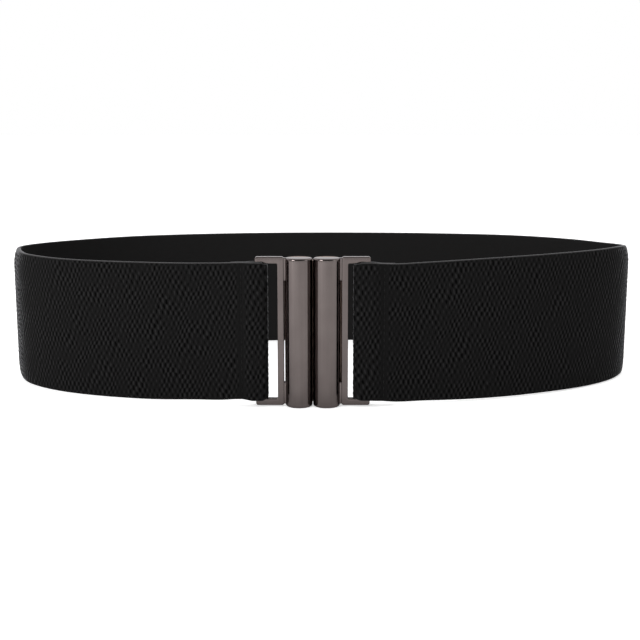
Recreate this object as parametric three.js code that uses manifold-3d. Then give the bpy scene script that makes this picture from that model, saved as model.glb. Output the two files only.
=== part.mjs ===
// A wide elastic waist belt, fastened: one elastic band and the two castings of its buckle.
// Millimetres. +Z is up, and the buckle faces -Y. The belt stands on its lower edge.

import * as THREE from 'three';
import { mergeVertices } from 'three/addons/utils/BufferGeometryUtils.js';
import Module from 'manifold-3d';

const wasm = await Module();
wasm.setup();

// The elastic band and its loop
const LOOP_LENGTH = 296; // across the loop from end to end, outside
const LOOP_DEPTH = 147.5; // from the front of the loop to its back, outside
const BAND_WIDTH = 60;
const BAND_THICKNESS = 1.8;
const BAND_EDGE = 0.45; // how far the band's long edges are rounded
const CURL_REACH = 8; // how far from its edges the band rolls in at the loop's ends
const LOWER_CURL = 0.3; // how much the lower edge rolls in, beside the upper edge
const LAYER_GAP = 0.3; // between a folded-back tail and the layer that it is sewn to

// The buckle as a whole
const BUCKLE_OFFSET = -3.15; // the buckle's middle from the loop's middle, along X
const BUCKLE_SETBACK = 2.5; // the buckle's middle plane behind the loop's front
const CLEARANCE = 0.3; // between pieces that touch on the real belt

// The frame of each half, which the band folds round
const FRAME_MARGIN = 3.4; // how much taller the frame is than the band
const FRAME_DEPTH = 3;
const FRAME_RAIL = 2.8; // the top and bottom rails, across
const FRAME_CORNER = 0.6;
const FRAME_BEVEL = 0.3;
const INNER_BAR = 2.7; // the upright bar beside the roll, across
const OUTER_BAR = 3; // the upright bar inside the fold, across
const WINDOW_WIDTH = 6.3;

// The roll: the round upright bar of each half
const ROLL_DIAMETER = 11.4;
const ROLL_DROP = 0.45; // how much lower than the frame the roll stands
const ROLL_ROUNDING = 0.8; // at the roll's two ends
const ROLL_SLIT = 0.6; // between the roll and the frame
const ROLL_SIDES = 48;

// The lugs that join roll and frame across the slit, at the top and at the bottom
const LUG_HEIGHT = 9.5;
const LUG_DEPTH = 2.2;
const LUG_BITE = 1; // how far a lug reaches into the metal on both sides
const LUG_INSET = 0.5; // below the frame's own edge

// The hook behind the left roll and the catch behind the right one
const HOOK_LOWER_MARGIN = 0.4; // how far above the frame's lower edge the two end
const HOOK_UPPER_MARGIN = 2.2; // how far below the frame's upper edge they end
const HOOK_THICKNESS = 1.4;
const HOOK_LIP = 1.7; // how far the two lips overlap, along Y
const HOOK_ROOT = 2; // how wide the hook's foot on the roll is
const CATCH_LIP = 1.4; // the catch lip's thickness
const CATCH_SETBACK = 3.8; // the catch arm's front, behind the buckle's middle plane

// The folds round the outer bars and the sewn tails
const STITCH_OUT = 29.8; // the seam, from the buckle's middle
const TAIL_BEYOND_STITCH = 4.7; // the tail's end past the seam
const APPROACH = 20; // past the seam, over which the band runs into the loop's curve
const FOLD_LEFT = { slack: 0.45, turnRadius: 1.6 };
const FOLD_RIGHT = { slack: 2.3, turnRadius: 2.4 };

// The loop seen from above is an ellipse with these departures. A row stands at an angle round the
// loop's middle, in degrees: 0 at the right end, 90 at the back, 180 at the left end, -90 in front.
// bulge is a share of the ellipse's radius there. lower, upper and curl are shares of the band's
// width: how far the lower edge and the upper edge lie above their plain heights, and how far both
// edges roll in.
const LOOP_SHAPE = [
  { turn: -180, bulge: -0.013, lower: 0.001, upper: 0.0, curl: 0.026 },
  { turn: -165, bulge: -0.006, lower: 0.002, upper: 0.0, curl: 0.024 },
  { turn: -150, bulge: 0.026, lower: 0.002, upper: -0.001, curl: 0.012 },
  { turn: -135, bulge: 0.042, lower: 0.003, upper: -0.004, curl: 0.0 },
  { turn: -120, bulge: 0.022, lower: 0.004, upper: -0.004, curl: 0.0 },
  { turn: -112, bulge: 0.006, lower: 0.014, upper: -0.003, curl: 0.0 },
  { turn: -107, bulge: -0.004, lower: 0.02, upper: 0.002, curl: 0.0 },
  { turn: -103, bulge: -0.01, lower: 0.034, upper: 0.009, curl: 0.0 },
  { turn: -100.5, bulge: -0.014, lower: 0.027, upper: 0.01, curl: 0.0 },
  { turn: -83, bulge: -0.02, lower: 0.027, upper: 0.009, curl: 0.0 },
  { turn: -80, bulge: -0.022, lower: 0.018, upper: -0.002, curl: 0.0 },
  { turn: -77, bulge: -0.023, lower: 0.005, upper: -0.007, curl: 0.0 },
  { turn: -73, bulge: -0.025, lower: 0.001, upper: -0.004, curl: 0.0 },
  { turn: -60, bulge: -0.031, lower: -0.008, upper: 0.013, curl: 0.0 },
  { turn: -45, bulge: -0.036, lower: -0.009, upper: 0.024, curl: 0.0 },
  { turn: -30, bulge: -0.026, lower: -0.01, upper: 0.028, curl: 0.01 },
  { turn: -15, bulge: -0.012, lower: -0.008, upper: 0.026, curl: 0.022 },
  { turn: 0, bulge: 0.0, lower: 0.0, upper: 0.008, curl: 0.024 },
  { turn: 15, bulge: -0.012, lower: 0.0, upper: 0.0, curl: 0.022 },
  { turn: 30, bulge: 0.002, lower: 0.0, upper: 0.0, curl: 0.012 },
  { turn: 50, bulge: 0.034, lower: 0.0, upper: 0.0, curl: 0.0 },
  { turn: 65, bulge: 0.02, lower: 0.0, upper: 0.0, curl: 0.0 },
  { turn: 85, bulge: -0.004, lower: 0.0, upper: 0.0, curl: 0.0 },
  { turn: 105, bulge: -0.016, lower: 0.0, upper: 0.0, curl: 0.0 },
  { turn: 130, bulge: -0.03, lower: 0.0, upper: 0.0, curl: 0.0 },
  { turn: 150, bulge: -0.054, lower: 0.0, upper: 0.0, curl: 0.012 },
  { turn: 165, bulge: -0.038, lower: 0.001, upper: 0.0, curl: 0.024 },
];

// Sizes that follow from those above
const rollRadius = ROLL_DIAMETER / 2;
const rollOut = CLEARANCE / 2 + rollRadius; // the roll's axis, from the buckle's middle
const frameIn = rollOut + rollRadius + ROLL_SLIT;
const windowIn = frameIn + INNER_BAR;
const windowOut = windowIn + WINDOW_WIDTH;
const frameOut = windowOut + OUTER_BAR;
const frameHeight = BAND_WIDTH + FRAME_MARGIN;
const frameMiddle = ROLL_DROP + frameHeight / 2;
const windowHeight = frameHeight - 2 * FRAME_RAIL;
const squeezedWidth = windowHeight - 2 * CLEARANCE; // the band where it passes the window
const foldedReach = FRAME_DEPTH / 2 + CLEARANCE + BAND_THICKNESS / 2; // bar's middle to a layer's
const sewnReach = (LAYER_GAP + BAND_THICKNESS) / 2; // the same at the seam
const foldSettle = 0.5; // past the outer bar, where the layers start to close up

const clamp01 = (value) => Math.min(1, Math.max(0, value));
const smooth = (value) => clamp01(value) ** 2 * (3 - 2 * clamp01(value));

// A cubic through two values with the slopes there, at a share of the way between them.
function cubic(from, to, slopeFrom, slopeTo, length, share) {
  const s2 = share * share;
  const s3 = s2 * share;
  return (2 * s3 - 3 * s2 + 1) * from + (s3 - 2 * s2 + share) * length * slopeFrom
    + (3 * s2 - 2 * s3) * to + (s3 - s2) * length * slopeTo;
}

// The value of one column of the loop's table at any angle, smooth from row to row and round again.
function loopColumn(column, turn) {
  const count = LOOP_SHAPE.length;
  const row = (i) => {
    const wrapped = LOOP_SHAPE[((i % count) + count) % count];
    return { turn: wrapped.turn + 360 * Math.floor(i / count), value: wrapped[column] };
  };
  const angle = ((((turn + 180) % 360) + 360) % 360) - 180;
  let i = 0;
  while (i + 1 < count && LOOP_SHAPE[i + 1].turn <= angle) i += 1;
  const slope = (j) => (row(j + 1).value - row(j - 1).value) / (row(j + 1).turn - row(j - 1).turn);
  const length = row(i + 1).turn - row(i).turn;
  const share = (angle - row(i).turn) / length;
  return cubic(row(i).value, row(i + 1).value, slope(i), slope(i + 1), length, share);
}

// The loop's outer face from above.
function loopOutside(turn) {
  const radians = THREE.MathUtils.degToRad(turn);
  const reach = 1 + loopColumn('bulge', turn);
  return new THREE.Vector2(
    (LOOP_LENGTH / 2) * reach * Math.cos(radians),
    (LOOP_DEPTH / 2) * (1 + reach * Math.sin(radians)),
  );
}

// The middle of the band's thickness, half a thickness inside the loop's outer face.
function loopMiddle(turn) {
  const step = 0.5;
  const along = loopOutside(turn + step).sub(loopOutside(turn - step)).normalize();
  return loopOutside(turn).add(new THREE.Vector2(-along.y, along.x).multiplyScalar(BAND_THICKNESS / 2));
}

// The angle at which the front of the loop passes a place along X.
function frontTurn(x) {
  let [low, high] = [-179, -1];
  for (let i = 0; i < 40; i += 1) {
    const middle = (low + high) / 2;
    if (loopMiddle(middle).x < x) low = middle;
    else high = middle;
  }
  return (low + high) / 2;
}

// The fold of one side. out is measured from the buckle's middle and back from its middle plane, and
// side is -1 on the left and 1 on the right.
function makeFold(side, { slack, turnRadius }) {
  const stitchOut = Math.max(STITCH_OUT, frameOut + 2 * foldSettle);
  const loopOut = stitchOut + APPROACH;
  const loopTurn = frontTurn(BUCKLE_OFFSET + side * loopOut);
  const loopStart = loopMiddle(loopTurn);
  const loopNext = loopMiddle(loopTurn + side);
  const loopSlope = (loopNext.y - loopStart.y) / Math.abs(loopNext.x - loopStart.x);
  const settleOut = frameOut + foldSettle;
  const seamSlope = 0.2;
  const turnOut = windowOut - slack - BAND_THICKNESS / 2;

  // The front layer's middle, from the outer bar to the loop.
  const frontBack = (out) => {
    if (out <= settleOut) return -foldedReach;
    if (out <= stitchOut) {
      const length = stitchOut - settleOut;
      return cubic(-foldedReach, -sewnReach, 0, seamSlope, length, (out - settleOut) / length);
    }
    const share = (out - stitchOut) / APPROACH;
    return cubic(-sewnReach, loopStart.y - BUCKLE_SETBACK, seamSlope, loopSlope, APPROACH, share);
  };
  // The tail's middle, behind the front layer.
  const tailBack = (out) => {
    if (out <= settleOut) return foldedReach;
    const closing = smooth((out - settleOut) / (stitchOut - settleOut));
    return THREE.MathUtils.lerp(foldedReach, frontBack(out) + 2 * sewnReach, closing);
  };

  const points = [];
  const add = (out, back, turned) => points.push({
    x: BUCKLE_OFFSET + side * out, y: BUCKLE_SETBACK + back, squeeze: turned,
  });
  const between = (from, to, steps) => (
    Array.from({ length: steps }, (_, i) => from + ((to - from) * (i + 1)) / steps)
  );
  const layerSteps = [...between(turnOut + turnRadius, settleOut, 2), ...between(settleOut, stitchOut, 5)];
  const tailSteps = between(stitchOut, stitchOut + TAIL_BEYOND_STITCH, 3);
  [...layerSteps, ...tailSteps].reverse().forEach((out) => add(out, tailBack(out), 0));
  const quarterSteps = 5;
  for (let i = 0; i <= quarterSteps; i += 1) {
    const angle = (Math.PI / 2) * (i / quarterSteps);
    const out = turnOut + turnRadius * (1 - Math.sin(angle));
    add(out, foldedReach - turnRadius * (1 - Math.cos(angle)), Math.sin(angle));
  }
  for (let i = quarterSteps; i >= 0; i -= 1) {
    const angle = (Math.PI / 2) * (i / quarterSteps);
    const out = turnOut + turnRadius * (1 - Math.sin(angle));
    add(out, -foldedReach + turnRadius * (1 - Math.cos(angle)), Math.sin(angle));
  }
  layerSteps.forEach((out) => add(out, frontBack(out), 0));
  const approachSteps = 8;
  for (let i = 1; i < approachSteps; i += 1) {
    const out = stitchOut + (APPROACH * i) / approachSteps;
    add(out, frontBack(out), 0);
  }
  return { points, loopTurn };
}

// The band's heights at a place: its edges follow the table, and the whole band stands on its back
// edge and is carried by the window's middle in front.
function bandEdges(point) {
  const turn = THREE.MathUtils.radToDeg(Math.atan2(
    (point.y * 2) / LOOP_DEPTH - 1,
    (point.x * 2) / LOOP_LENGTH,
  ));
  const side = point.x < BUCKLE_OFFSET ? -1 : 1;
  const foldTurn = frontTurn(BUCKLE_OFFSET + side * frameOut);
  const inFold = point.squeeze !== undefined && Math.abs(point.x - BUCKLE_OFFSET) < frameOut;
  const at = inFold ? foldTurn : turn;
  const lowerPlain = BAND_WIDTH * loopColumn('lower', at);
  const upperPlain = BAND_WIDTH * (1 + loopColumn('upper', at));
  const foldMiddle = (1 + loopColumn('lower', foldTurn) + loopColumn('upper', foldTurn)) / 2;
  const carried = frameMiddle - BAND_WIDTH * foldMiddle;
  const lift = carried * clamp01(1 - point.y / LOOP_DEPTH);
  const squeeze = point.squeeze ?? 0;
  const squeezedLow = frameMiddle - squeezedWidth / 2;
  return {
    low: THREE.MathUtils.lerp(lowerPlain + lift, Math.max(lowerPlain + lift, squeezedLow), squeeze),
    high: THREE.MathUtils.lerp(
      upperPlain + lift,
      Math.min(upperPlain + lift, squeezedLow + squeezedWidth),
      squeeze,
    ),
    curl: BAND_WIDTH * loopColumn('curl', at),
  };
}

// The whole band's middle line: left tail, left fold, loop, right fold, right tail.
function bandPath() {
  const left = makeFold(-1, FOLD_LEFT);
  const right = makeFold(1, FOLD_RIGHT);
  const startTurn = left.loopTurn;
  const endTurn = right.loopTurn - 360;
  const loopSteps = 84;
  const path = [...left.points];
  for (let i = 0; i <= loopSteps; i += 1) {
    const turn = startTurn + ((endTurn - startTurn) * i) / loopSteps;
    const middle = loopMiddle(turn);
    path.push({ x: middle.x, y: middle.y });
  }
  path.push(...right.points.reverse());
  return path.map((point) => ({ ...point, ...bandEdges(point) }));
}

// One closed wall along the band's path: a rounded section at each station, joined in rings.
function makeStrapGeometry() {
  const path = bandPath();
  const half = BAND_THICKNESS / 2;
  const levels = [BAND_EDGE / BAND_WIDTH, 0.05, 0.12, 0.5, 0.88, 0.95, 1 - BAND_EDGE / BAND_WIDTH];
  const section = [
    ...levels.map((level) => [-half, level]),
    [-half + BAND_EDGE, 1],
    [half - BAND_EDGE, 1],
    ...levels.slice().reverse().map((level) => [half, level]),
    [half - BAND_EDGE, 0],
    [-half + BAND_EDGE, 0],
  ];
  const positions = [];
  path.forEach((point, i) => {
    const before = path[Math.max(0, i - 1)];
    const after = path[Math.min(path.length - 1, i + 1)];
    const along = new THREE.Vector2(after.x - before.x, after.y - before.y).normalize();
    const inward = new THREE.Vector2(along.y, -along.x);
    section.forEach(([across, level]) => {
      const fromEdge = BAND_WIDTH * Math.min(level, 1 - level);
      const curl = level < 0.5 ? point.curl * LOWER_CURL : point.curl;
      const rolled = curl * clamp01(1 - fromEdge / CURL_REACH) ** 2;
      const reach = across + rolled;
      positions.push(point.x + inward.x * reach, point.y + inward.y * reach);
      positions.push(THREE.MathUtils.lerp(point.low, point.high, level));
    });
  });
  const around = section.length;
  const indices = [];
  for (let i = 0; i + 1 < path.length; i += 1) {
    for (let j = 0; j < around; j += 1) {
      const [a, b] = [i * around + j, i * around + ((j + 1) % around)];
      indices.push(a, a + around, b, b, a + around, b + around);
    }
  }
  const lastRing = (path.length - 1) * around;
  for (let j = 1; j + 1 < around; j += 1) {
    indices.push(0, j, j + 1);
    indices.push(lastRing, lastRing + j + 1, lastRing + j);
  }
  const geometry = new THREE.BufferGeometry();
  geometry.setAttribute('position', new THREE.Float32BufferAttribute(positions, 3));
  geometry.setIndex(indices);
  return faceOutward(geometry);
}

// Six times the volume inside a closed mesh, with a sign that tells which way its faces point.
function signedVolume(geometry) {
  const { position } = geometry.attributes;
  const corner = (i) => new THREE.Vector3().fromBufferAttribute(position, geometry.index.getX(i));
  let total = 0;
  for (let i = 0; i < geometry.index.count; i += 3) {
    total += corner(i).dot(corner(i + 1).cross(corner(i + 2)));
  }
  return total;
}

function faceOutward(geometry) {
  if (signedVolume(geometry) < 0) {
    const flipped = Array.from(geometry.index.array);
    for (let i = 0; i < flipped.length; i += 3) [flipped[i], flipped[i + 1]] = [flipped[i + 1], flipped[i]];
    geometry.setIndex(flipped);
  }
  geometry.computeVertexNormals();
  return geometry;
}

function toSolid(geometry) {
  const bare = geometry.clone();
  bare.deleteAttribute('normal');
  bare.deleteAttribute('uv');
  const welded = mergeVertices(bare, 1e-4);
  return new wasm.Manifold(new wasm.Mesh({
    numProp: 3,
    vertProperties: new Float32Array(welded.attributes.position.array),
    triVerts: new Uint32Array(welded.index.array),
  }));
}

function fromSolid(solid) {
  const mesh = solid.getMesh();
  const geometry = new THREE.BufferGeometry();
  geometry.setAttribute('position', new THREE.BufferAttribute(mesh.vertProperties, 3));
  geometry.setIndex(new THREE.BufferAttribute(mesh.triVerts, 1));
  geometry.computeVertexNormals();
  return geometry;
}

// The roll of one half, turned on the lathe, with rounded ends.
function makeRoll(side) {
  const roundingSteps = 3;
  const profile = [new THREE.Vector2(0, 0)];
  for (let i = 0; i <= roundingSteps; i += 1) {
    const angle = (Math.PI / 2) * (i / roundingSteps);
    profile.push(new THREE.Vector2(
      rollRadius - ROLL_ROUNDING * (1 - Math.sin(angle)),
      ROLL_ROUNDING * (1 - Math.cos(angle)),
    ));
  }
  for (let i = roundingSteps; i >= 0; i -= 1) {
    const lower = profile[i + 1];
    profile.push(new THREE.Vector2(lower.x, frameHeight - lower.y));
  }
  profile.push(new THREE.Vector2(0, frameHeight));
  const roll = new THREE.LatheGeometry(profile, ROLL_SIDES);
  roll.rotateX(Math.PI / 2);
  roll.translate(side * rollOut, 0, 0);
  return roll;
}

function rectangle(target, left, bottom, right, top, corner) {
  target.moveTo(left + corner, bottom);
  target.lineTo(right - corner, bottom);
  target.quadraticCurveTo(right, bottom, right, bottom + corner);
  target.lineTo(right, top - corner);
  target.quadraticCurveTo(right, top, right - corner, top);
  target.lineTo(left + corner, top);
  target.quadraticCurveTo(left, top, left, top - corner);
  target.lineTo(left, bottom + corner);
  target.quadraticCurveTo(left, bottom, left + corner, bottom);
  return target;
}

// The flat rectangular frame of one half, with its window.
function makeFrame(side) {
  const [near, far] = [frameIn + FRAME_BEVEL, frameOut - FRAME_BEVEL];
  const [low, high] = [FRAME_BEVEL, frameHeight - FRAME_BEVEL];
  const outline = rectangle(new THREE.Shape(), near, low, far, high, FRAME_CORNER);
  outline.holes.push(rectangle(
    new THREE.Path(),
    windowIn - FRAME_BEVEL,
    FRAME_RAIL - FRAME_BEVEL,
    windowOut + FRAME_BEVEL,
    frameHeight - FRAME_RAIL + FRAME_BEVEL,
    FRAME_CORNER,
  ));
  const frame = new THREE.ExtrudeGeometry(outline, {
    depth: FRAME_DEPTH - 2 * FRAME_BEVEL,
    bevelThickness: FRAME_BEVEL,
    bevelSize: FRAME_BEVEL,
    bevelSegments: 1,
    curveSegments: 3,
  });
  frame.rotateX(Math.PI / 2);
  frame.translate(0, FRAME_DEPTH / 2 - FRAME_BEVEL, ROLL_DROP);
  if (side < 0) frame.rotateZ(Math.PI);
  return frame;
}

// A lug across the slit, in the frame's own thickness.
function makeLug(side, low) {
  const width = ROLL_SLIT + 2 * LUG_BITE;
  const lug = new THREE.BoxGeometry(width, LUG_DEPTH, LUG_HEIGHT);
  lug.translate(side * (frameIn + LUG_BITE - width / 2), 0, low + LUG_HEIGHT / 2);
  return lug;
}

// A plate with a plan shape, standing nearly as high as the frame.
function standingPlate(corners) {
  const outline = new THREE.Shape(corners.map(([x, y]) => new THREE.Vector2(x, y)));
  const plateHeight = frameHeight - HOOK_LOWER_MARGIN - HOOK_UPPER_MARGIN;
  const plate = new THREE.ExtrudeGeometry(outline, { depth: plateHeight, bevelEnabled: false });
  plate.translate(0, 0, ROLL_DROP + HOOK_LOWER_MARGIN);
  return plate;
}

const catchBack = CATCH_SETBACK + CATCH_LIP; // the catch arm's back face
const catchLipX = -CATCH_LIP / 2 - CLEARANCE / 2; // the catch lip's left face
const hookLipX = catchLipX + CATCH_LIP + CLEARANCE; // the hook lip's left face
const hookFront = catchBack + HOOK_LIP + CLEARANCE; // the hook arm's front face

// The hook: a foot on the left roll, an arm from the slit's far side to behind the catch, and a lip
// turned forward.
function makeHook() {
  const foot = -rollOut;
  const armEnd = -frameIn + CLEARANCE / 2;
  return standingPlate([
    [foot, rollRadius - LUG_BITE],
    [foot + HOOK_ROOT, rollRadius - LUG_BITE],
    [foot + HOOK_ROOT, hookFront],
    [hookLipX, hookFront],
    [hookLipX, catchBack + CLEARANCE],
    [hookLipX + HOOK_THICKNESS, catchBack + CLEARANCE],
    [hookLipX + HOOK_THICKNESS, hookFront + HOOK_THICKNESS],
    [armEnd, hookFront + HOOK_THICKNESS],
    [armEnd, hookFront],
    [foot, hookFront],
  ]);
}

// The catch: an arm across the back of the right roll and of its slit, and a lip turned back, inside
// the hook.
function makeCatch() {
  const armEnd = frameIn + LUG_BITE;
  return standingPlate([
    [catchLipX, CATCH_SETBACK],
    [armEnd, CATCH_SETBACK],
    [armEnd, catchBack],
    [catchLipX + CATCH_LIP, catchBack],
    [catchLipX + CATCH_LIP, catchBack + HOOK_LIP],
    [catchLipX, catchBack + HOOK_LIP],
  ]);
}

function makeBuckleHalf(side) {
  const lowerLug = ROLL_DROP + LUG_INSET;
  const upperLug = ROLL_DROP + frameHeight - LUG_INSET - LUG_HEIGHT;
  const pieces = [makeRoll(side), makeFrame(side), makeLug(side, lowerLug), makeLug(side, upperLug)];
  pieces.push(side < 0 ? makeHook() : makeCatch());
  return fromSolid(pieces.map(toSolid).reduce((casting, piece) => casting.add(piece)));
}

function named(name, geometry, material) {
  const mesh = new THREE.Mesh(geometry, material);
  mesh.name = name;
  return mesh;
}

const elastic = new THREE.MeshStandardMaterial({ color: 0x1e1e20, roughness: 0.9, metalness: 0 });
const gunmetal = new THREE.MeshStandardMaterial({ color: 0x6f6866, roughness: 0.25, metalness: 1 });

const buckle = new THREE.Group();
buckle.add(named('buckle_half_left', makeBuckleHalf(-1), gunmetal));
buckle.add(named('buckle_half_right', makeBuckleHalf(1), gunmetal));
buckle.position.set(BUCKLE_OFFSET, BUCKLE_SETBACK, 0);

const belt = new THREE.Group();
belt.add(named('elastic_strap', makeStrapGeometry(), elastic), buckle);

// The belt's origin is the middle of its outer box, on the surface that it stands on.
belt.updateMatrixWorld(true);
const outerBox = new THREE.Box3().setFromObject(belt, true);
belt.position.set(
  -(outerBox.min.x + outerBox.max.x) / 2,
  -(outerBox.min.y + outerBox.max.y) / 2,
  -outerBox.min.z,
);

export default belt;
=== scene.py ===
"""A wide elastic waist belt, fastened by a buckle of two upright rolls and standing on its edge.

Metres. +Z is up, the buckle faces -Y, and the belt stands on Z = 0. The elastic band is one woven
strip: a sewn tail, a fold round the buckle's left bar, the whole loop, a fold round the right bar
and a second sewn tail. Each half of the buckle is one plated casting.
"""

import logging
import math
from dataclasses import dataclass
from enum import Enum

import bpy
import numpy as np
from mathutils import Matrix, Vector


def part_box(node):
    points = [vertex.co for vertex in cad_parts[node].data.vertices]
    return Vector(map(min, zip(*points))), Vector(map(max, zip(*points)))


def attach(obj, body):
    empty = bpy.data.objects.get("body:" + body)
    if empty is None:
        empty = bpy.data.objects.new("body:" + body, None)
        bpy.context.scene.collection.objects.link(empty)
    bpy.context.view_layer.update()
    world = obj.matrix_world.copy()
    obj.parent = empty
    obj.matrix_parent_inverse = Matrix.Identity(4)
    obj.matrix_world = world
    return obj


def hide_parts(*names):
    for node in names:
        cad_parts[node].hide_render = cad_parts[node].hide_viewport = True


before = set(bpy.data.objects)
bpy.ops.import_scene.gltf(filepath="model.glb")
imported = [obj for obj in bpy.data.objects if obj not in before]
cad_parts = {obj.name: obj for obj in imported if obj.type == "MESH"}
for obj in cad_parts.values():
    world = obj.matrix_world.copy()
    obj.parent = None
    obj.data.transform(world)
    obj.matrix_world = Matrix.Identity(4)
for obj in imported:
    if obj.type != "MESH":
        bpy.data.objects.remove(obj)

MM = 0.001
QUARTER_TURN = math.pi / 2
FULL_TURN = 2 * math.pi
Colour = Place = tuple[float, float, float]
Array = np.ndarray
Piece = bpy.types.Object
Socket = bpy.types.NodeSocket
Sockets = bpy.types.bpy_prop_collection
MOST_OF_NOISE = (0.3, 0.7)
WHOLE_WAVE = (-1.0, 1.0)
log = logging.getLogger("stretch_belt")


class Side(Enum):
    """The two sides of the belt, seen by someone who faces the buckle."""

    LEFT = -1
    RIGHT = 1

    @property
    def word(self) -> str:
        """The side's name in lower case, for the names of pieces."""
        return self.name.lower()


class Slot(Enum):
    """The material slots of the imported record."""

    ELASTIC = "elastic"
    GUNMETAL = "gunmetal"


# Objects, meshes and curves


def make_object(name: str, data: bpy.types.ID) -> Piece:
    """Puts a mesh, a lamp or a camera into the scene."""
    bpy.context.scene.collection.objects.link(made := bpy.data.objects.new(name, data))
    return made


def grid_quads(rows: int, columns: int, rows_wrap: bool) -> Array:
    """Numbers the quads of a grid of points that is stored row after row and whose columns wrap.

    Quad (i, j) joins the points (i, j), (i + 1, j), (i + 1, j + 1) and (i, j + 1).

    Args:
        rows: Rows of points.
        columns: Points in a row.
        rows_wrap: Whether the last row joins the first.

    Returns:
        One row of four point numbers for each quad.
    """
    i = np.arange(rows if rows_wrap else rows - 1)[:, None]
    j = np.arange(columns)
    low, high = i * columns, (i + 1) % rows * columns
    corners = (low + j, high + j, high + (j + 1) % columns, low + (j + 1) % columns)
    return np.stack(corners, axis=-1).reshape(-1, 4)


def make_closed_object(name: str, grids: list[Array], rows_wrap: bool = False) -> Piece:
    """Makes one object of closed surfaces, with its faces pointing out.

    Each surface is a grid of points whose columns wrap, and one face closes each end of it unless its
    rows wrap too. The faces are turned round where the volume inside them comes out negative: the sum
    of the triple products a . (b x c) of the triangles that each face fans out into.

    Args:
        name: The object's name.
        grids: For each surface, its rows of points.
        rows_wrap: Whether the last row of a grid joins its first.

    Returns:
        The object, linked to the scene.
    """
    quads, caps, start = [], [], 0
    for grid in grids:
        rows, columns = grid.shape[:2]
        quads.append(grid_quads(rows, columns, rows_wrap) + start)
        ring = np.arange(columns) + start
        caps += [] if rows_wrap else [ring, ring[::-1] + (rows - 1) * columns]
        start += rows * columns
    points, quads = np.concatenate([grid.reshape(-1, 3) for grid in grids]), np.concatenate(quads)
    fans = [quads[:, [0, 1, 2]], quads[:, [0, 2, 3]]]
    fans += [np.stack([np.full(len(cap) - 2, cap[0]), cap[1:-1], cap[2:]], axis=-1) for cap in caps]
    a, b, c = points[np.concatenate(fans)].swapaxes(0, 1)
    turn = slice(None, None, -1 if (a * np.cross(b, c)).sum() < 0 else 1)
    mesh = bpy.data.meshes.new(name)
    mesh.from_pydata(points.tolist(), [], quads[:, turn].tolist() + [cap[turn].tolist() for cap in caps])
    mesh.shade_smooth()
    mesh.update()
    return make_object(name, mesh)


def store_uv(piece: Piece, name: str, places: Array) -> None:
    """Stores a UV map that has one place for each point, so it has no seams of its own.

    Args:
        piece: The piece.
        name: The map's name.
        places: One row of two coordinates for each point.
    """
    corners = np.zeros(len(piece.data.loops), dtype=np.int32)
    piece.data.loops.foreach_get("vertex_index", corners)
    layer = piece.data.uv_layers.new(name=name)
    layer.data.foreach_set("uv", places[corners].astype(np.float32).ravel())


def hermite(start: float, end: float, slope_start: float, slope_end: float, length: float,
            share: Array) -> Array:
    """A cubic between two values with given slopes there.

    With s the share of the way, it is (2s^3 - 3s^2 + 1) start + (s^3 - 2s^2 + s) length slope_start
    + (3s^2 - 2s^3) end + (s^3 - s^2) length slope_end.

    Args:
        start: The value at share 0.
        end: The value at share 1.
        slope_start: The slope at share 0.
        slope_end: The slope at share 1.
        length: The distance between the two.
        share: The shares of the way.

    Returns:
        The value at each share.
    """
    s2, s3 = share**2, share**3
    return ((2 * s3 - 3 * s2 + 1) * start + (s3 - 2 * s2 + share) * length * slope_start
            + (3 * s2 - 2 * s3) * end + (s3 - s2) * length * slope_end)


def smooth_step(share: Array) -> Array:
    """Eases from 0 to 1: s^2 (3 - 2s), with s held between 0 and 1."""
    s = np.clip(share, 0, 1)
    return s * s * (3 - 2 * s)


def edge_profile(half_depth: float, rounding: float, steps: int) -> tuple[Array, Array]:
    """The rounded edge of a wall or slab: how far it lies inside the outline, and its place across.

    A quarter circle leads from one face to the side, and a second one to the other face.

    Args:
        half_depth: Half the thickness.
        rounding: The edges' radius.
        steps: Steps in each quarter circle.

    Returns:
        The insets and the places.
    """
    angle = np.linspace(0, QUARTER_TURN, steps + 1)
    inset = rounding * (1 - np.sin(angle))
    place = -half_depth + rounding * (1 - np.cos(angle))
    return np.concatenate([inset, inset[::-1]]), np.concatenate([place, -place[::-1]])


# The elastic band


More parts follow.
